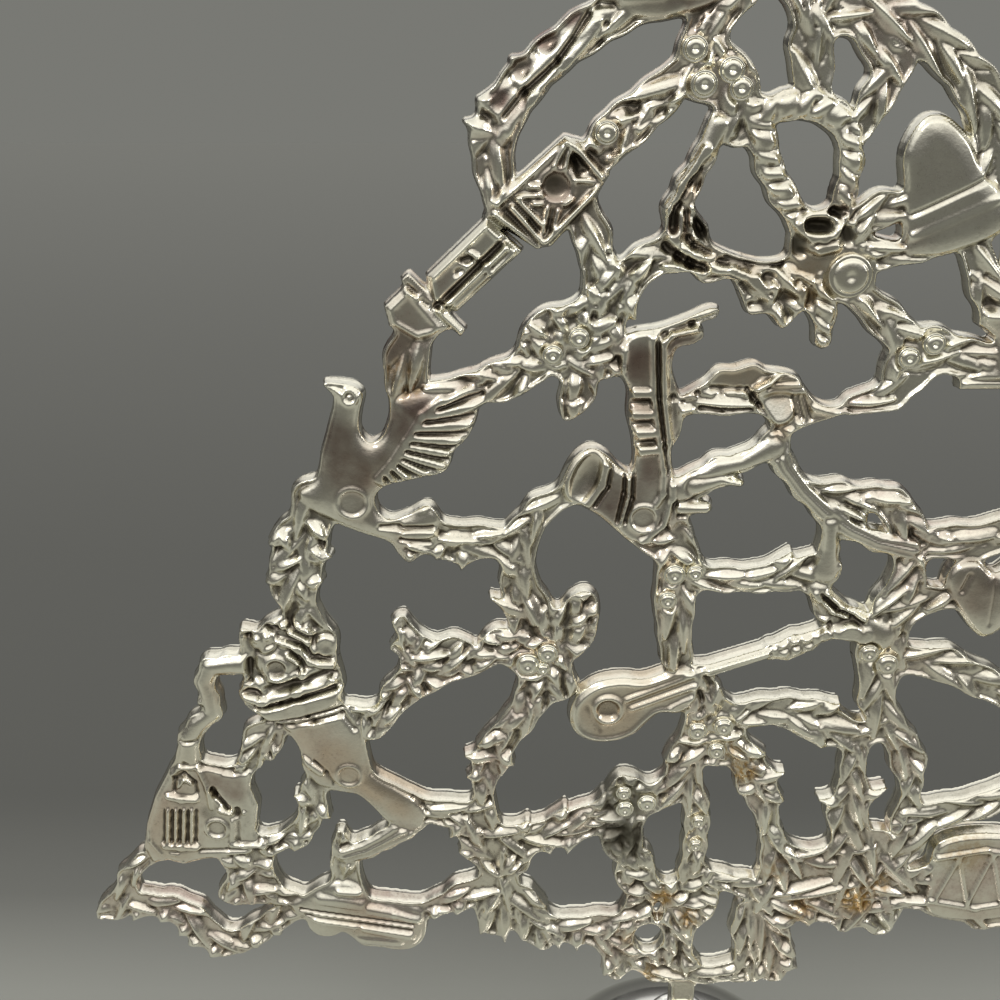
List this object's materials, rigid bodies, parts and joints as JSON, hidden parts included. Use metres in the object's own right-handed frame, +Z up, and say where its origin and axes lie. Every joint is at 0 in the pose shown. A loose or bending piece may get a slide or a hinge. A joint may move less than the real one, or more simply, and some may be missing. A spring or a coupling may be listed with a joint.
{
  "type": "filigree christmas tree table decoration",
  "caption": "Flat openwork metal christmas tree cast with toys, instruments and leaves on both faces, standing in a socket on a weighted domed base.",
  "frame": {"origin": "middle of the felt's underside, on the surface the tree stands on", "axes": "+X to the tree's right as seen from the front, -Y towards the viewer, +Z up along the trunk"},
  "size_m": [0.198, 0.074, 0.2539],
  "materials": {
    "silver_plate": "polished silver plate with tarnish in the hollows",
    "steel": "plain zinc-plated steel",
    "weight": "rough casting",
    "felt": "dense felt"
  },
  "bodies": {
    "base": {"trunk_socket": "silver_plate", "base_dome": "silver_plate", "plinth_ring": "silver_plate", "base_weight": "weight", "socket_washer": "steel", "socket_nut": "steel", "bottom_plate": "steel", "felt_pad": "felt"},
    "tree": {"tree_panel": "silver_plate"}
  },
  "joints": [
    {"name": "tree_lift", "type": "slide", "parent": "base", "child": "tree", "axis": [0, 0, 1], "range_m": [0, 0.02]}
  ]
}
